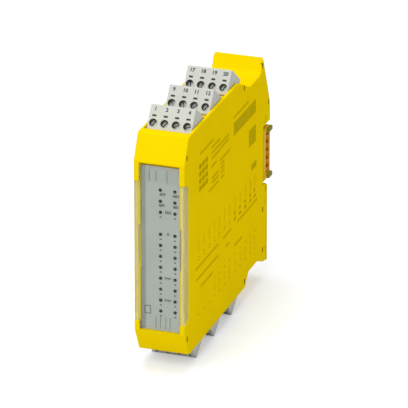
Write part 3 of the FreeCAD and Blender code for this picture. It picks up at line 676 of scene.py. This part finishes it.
def screw_collar():
    """The round rim and wall of a screw hole."""
    deselect()
    bpy.ops.mesh.primitive_circle_add(vertices=COLLAR_SIDES, radius=COLLAR_RADIUS * MM, fill_type="NGON")
    collar = settle(bpy.context.object)
    edit(collar)
    bpy.ops.mesh.inset(thickness=(COLLAR_RADIUS - COLLAR_BORE) * MM)
    bpy.ops.mesh.delete(type="FACE")
    leave()
    return smoothed(rounded(thickened(collar, COLLAR_WALL), COLLAR_EDGE, 50))


def screw_well():
    """The dark lining of a screw hole below its collar: painted shade on the hole's wall."""
    deselect()
    bpy.ops.mesh.primitive_cylinder_add(vertices=COLLAR_SIDES, radius=COLLAR_BORE * MM,
                                        depth=WELL_DEPTH * MM, location=(0, 0, -WELL_DEPTH / 2 * MM),
                                        end_fill_type="NOTHING")
    return smoothed(thickened(settle(bpy.context.object), WELL_WALL))


def dress_terminals():
    screw, collar, well = clamp_screw(), screw_collar(), screw_well()
    for plug, (name, first, face) in enumerate(plug_frames()):
        body = f"terminal_{name}"
        screws, collars, wells = [], [], []
        for i, x in enumerate(POLES):
            turn = math.radians(SCREW_TURNS[(plug * len(POLES) + i) % len(SCREW_TURNS)])
            hole = face @ at(x, SCREW_LEVEL)
            seat = hole @ at(0, 0, -SCREW_RECESS) @ Matrix.Rotation(turn, 4, "Z")
            screws.append(copied(screw, f"screw_{i}", seat))
            collars.append(copied(collar, f"collar_{i}", hole))
            wells.append(copied(well, f"well_{i}", hole @ at(0, 0, -COLLAR_WALL / 2)))
        heads = fitted(joined(f"slotted_screws_{name}", screws), body, "steel")
        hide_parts(f"clamp_screws_{name}")
        fitted(joined(f"hole_collars_{name}", collars), body, "terminal_plastic")
        # The dark wells are painted shade inside the screw holes.
        fitted(joined(f"screw_hole_shades_{name}", wells), body, "terminal_plastic", "painted_hole_shade")
        words = [(str(first + i), x, NUMBER_LEVEL) for i, x in enumerate(POLES)]
        fitted(numerals(f"numbers_{name}", words, NUMBER_HEIGHT, PLUG_INK, face),
               body, "terminal_plastic", "number_ink_and_slot_shade")
        # Dark sheets over the test slots paint the shade inside them, in the numbers' ink.
        slots = [shifted(TEST_SLOT, x, TEST_SLOT_LEVEL) for x in POLES]
        fitted(printed_marks(f"test_slot_shades_{name}", slots, PLUG_INK, PLUG_CORNER, face),
               body, "terminal_plastic", "number_ink_and_slot_shade")
    for spare in (screw, collar, well):
        bpy.data.objects.remove(spare)


# ---- front label ----

def led_lens():
    """A flat round lens whose front edge is rounded."""
    deselect()
    bpy.ops.mesh.primitive_cylinder_add(vertices=LENS_SIDES, radius=LENS_RADIUS * MM,
                                        depth=LENS_HEIGHT * MM)
    lens = settle(bpy.context.object)
    edit(lens)
    bpy.ops.mesh.select_all(action="DESELECT")
    leave()
    for face in lens.data.polygons:
        face.select = face.normal.z > 0.9
    bpy.ops.object.mode_set(mode="EDIT")
    bpy.ops.mesh.select_mode(type="FACE")
    bpy.ops.mesh.bevel(offset=LENS_EDGE * MM, segments=3)
    leave()
    return smoothed(lens, 60)


def label_marks():
    spans = [shifted(LED_DASH, x, height) for height in LED_HEIGHTS for x in LED_COLUMNS]
    for caption in CAPTIONS:
        spans += strokes(*caption, CAPTION_SHARE)
    left, bottom, right, top = HOLLOW_SQUARE
    low, high = bottom + HOLLOW_LINE, top - HOLLOW_LINE
    spans += [(left, bottom, right, low), (left, high, right, top),
              (left, low, left + HOLLOW_LINE, high), (right - HOLLOW_LINE, low, right, high)]
    return spans


def dress_label():
    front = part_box("front_label")[0].y
    sheet = Matrix.Translation((0, front, -BOTTOM * MM)) @ UPRIGHT
    lens = led_lens()
    spots = [(x, height) for x in LED_COLUMNS for height in LED_HEIGHTS]
    lenses = [copied(lens, f"lens_{i}", sheet @ at(*spot)) for i, spot in enumerate(spots)]
    bpy.data.objects.remove(lens)
    fitted(joined("led_lenses", lenses), "housing", "light_guide", "lens")
    fitted(printed_marks("label_captions", label_marks(), LABEL_INK, LABEL_CORNER, sheet),
           "housing", "label", "label_ink")


# ---- marks on the side ----

def side_marks():
    spans = []
    for left, right, height in SIDE_LINES:
        count = round((right - left) / STROKE_PITCH)
        spans += strokes(left, height - LINE_RISE, right, height + LINE_RISE, count, STROKE_SHARE)
    for depth in SIDE_COLUMNS:
        marks = [*UPPER_MARKS]
        if depth > REAR_MARKS_FROM:
            marks += REAR_MARKS
        if depth > LOWER_MARKS_FROM:
            marks += LOWER_MARKS
        spans += [shifted(mark, depth, 0) for mark in (*marks, FOOT_MARK)]
    across, up = BLOCK_STEPS
    columns, rows = BLOCK_COUNTS
    spans += [shifted(BLOCK_MARK, across * j, up * i) for i in range(rows) for j in range(columns)]
    return spans


def dress_side():
    corner = Vector((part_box("side_cover")[1].x, -FRONT * MM, -BOTTOM * MM))
    sheet = Matrix.Translation(corner) @ Matrix.Rotation(math.radians(90), 4, "Z") @ UPRIGHT
    # The snap slots get dark sheets of painted shadow.
    slots = [shifted(SNAP_SLOT, *place) for place in SNAP_SLOTS]
    for name, spans, thickness, rounding, finish in (
            ("side_marks", side_marks(), SIDE_INK, SIDE_CORNER, "side_ink"),
            ("painted_snap_slot_shadows", slots, SLOT_SHADOW_SHEET, SLOT_CORNER, "slot_shadow"),
            ("side_fields", SIDE_FIELDS, SIDE_INK, SIDE_CORNER, "dark_side_ink")):
        marks = printed_marks(name, spans, thickness, rounding, sheet)
        fitted(marks, "housing", "housing_plastic", finish)


# ---- crest of the housing ----

def crested(name):
    """A copy of a housing shell whose rounded crest over the rail is drawn out to a sharp one.

    Each corner on the rounding, or on its chamfer, moves straight out from the centre of the rounding
    until it meets the line of the wall before or behind the crest."""
    shell = node_copied(name, f"crested_{name}")
    tip = Vector(CREST)
    fore, aft = (Vector(CREST_FORE) - tip).normalized(), (Vector(CREST_AFT) - tip).normalized()
    centre = tip + (fore + aft).normalized() * (CREST_RADIUS / math.sin(fore.angle(aft) / 2))
    walls = (Vector((fore.y, -fore.x)), Vector((-aft.y, aft.x)))
    walls = [wall if wall.dot(tip - centre) > 0 else -wall for wall in walls]
    for vertex in shell.data.vertices:
        spot = Vector((vertex.co.y / MM + FRONT, vertex.co.z / MM + BOTTOM))
        arm = spot - centre
        beyond = arm.length - CREST_RADIUS
        on_rounding = min(abs(beyond), abs(beyond + EDGE_CHAMFER)) <= CREST_TOLERANCE
        if on_rounding and arm.dot(tip - centre) > 0:
            spot = centre + arm / max(arm.normalized().dot(wall) for wall in walls)
            vertex.co.y, vertex.co.z = (spot.x - FRONT) * MM, (spot.y - BOTTOM) * MM
    chosen(shell)
    bpy.ops.mesh.customdata_custom_splitnormals_clear()
    fitted(smoothed(shell), "housing", "housing_plastic")
    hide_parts(name)


# ---- bus contacts ----

def dress_bus():
    """The springs again, with their sharp edges rolled over."""
    springs = node_copied("bus_contacts", "bus_springs")
    edit(springs)
    bpy.ops.mesh.dissolve_limited(angle_limit=math.radians(1))
    leave()
    fitted(smoothed(rounded(springs, SPRING_EDGE)), "bus_connector", "contact_metal")
    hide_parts("bus_contacts")


# ---- stage ----

def studio_floor():
    """A pale floor that keeps its shadows, and glows a little where the camera sees it."""
    deselect()
    bpy.ops.mesh.primitive_plane_add(size=FLOOR_SIZE, location=(0, 0, CAD_BOX[0].z))
    floor = settle(bpy.context.object)
    floor.name = "studio_floor"
    finish = Finish("studio floor")
    finish.fix("Base Color", (*FLOOR_GREY, 1))
    finish.fix("Roughness", 0.9)
    glow = finish.node("ShaderNodeEmission")
    glow.inputs["Color"].default_value = (1, 1, 1, 1)
    seen = finish.computed("MAXIMUM", finish.path("Is Camera Ray"), finish.path("Is Transmission Ray"))
    finish.link(finish.computed("MULTIPLY", seen, FLOOR_GLOW), glow.inputs["Strength"])
    both = finish.node("ShaderNodeAddShader")
    finish.link(finish.shader.outputs["BSDF"], both.inputs[0])
    finish.link(glow.outputs["Emission"], both.inputs[1])
    finish.link(both.outputs["Shader"], finish.surface)
    floor.data.materials.append(finish.material)


def studio_world():
    world = bpy.data.worlds.new("studio")
    bpy.context.scene.world = world
    world.use_nodes = True
    background = world.node_tree.nodes["Background"]
    background.inputs["Color"].default_value = (1, 1, 1, 1)
    background.inputs["Strength"].default_value = WORLD_LIGHT


def studio_lamps():
    for name, place, size, power in LAMPS:
        deselect()
        bpy.ops.object.light_add(type="AREA", location=place)
        light = bpy.context.object
        light.name = name
        light.data.shape = "RECTANGLE"
        light.data.size = light.data.size_y = size
        light.data.energy = power
        light.rotation_euler = (Vector(LAMP_AIM) - Vector(place)).to_track_quat("-Z", "Y").to_euler()


def studio_camera():
    deselect()
    bpy.ops.object.camera_add()
    camera = bpy.context.object
    level = math.cos(CAMERA_ELEVATION)
    back = Vector((math.sin(CAMERA_AZIMUTH) * level, -math.cos(CAMERA_AZIMUTH) * level,
                   math.sin(CAMERA_ELEVATION)))
    camera.location = CAMERA_AIM + back * CAMERA_DISTANCE
    camera.rotation_euler = (-back).to_track_quat("-Z", "Y").to_euler()
    camera.data.lens = CAMERA_LENS
    camera.data.sensor_width = CAMERA_SENSOR
    camera.data.clip_end = CAMERA_REACH
    bpy.context.scene.camera = camera


def main():
    dress_frame()
    dress_terminals()
    dress_label()
    dress_side()
    dress_bus()
    for name in ("housing_shell", "side_cover"):
        crested(name)
    studio_floor()
    studio_world()
    studio_lamps()
    studio_camera()
    bpy.context.scene.view_settings.view_transform = "Standard"


main()
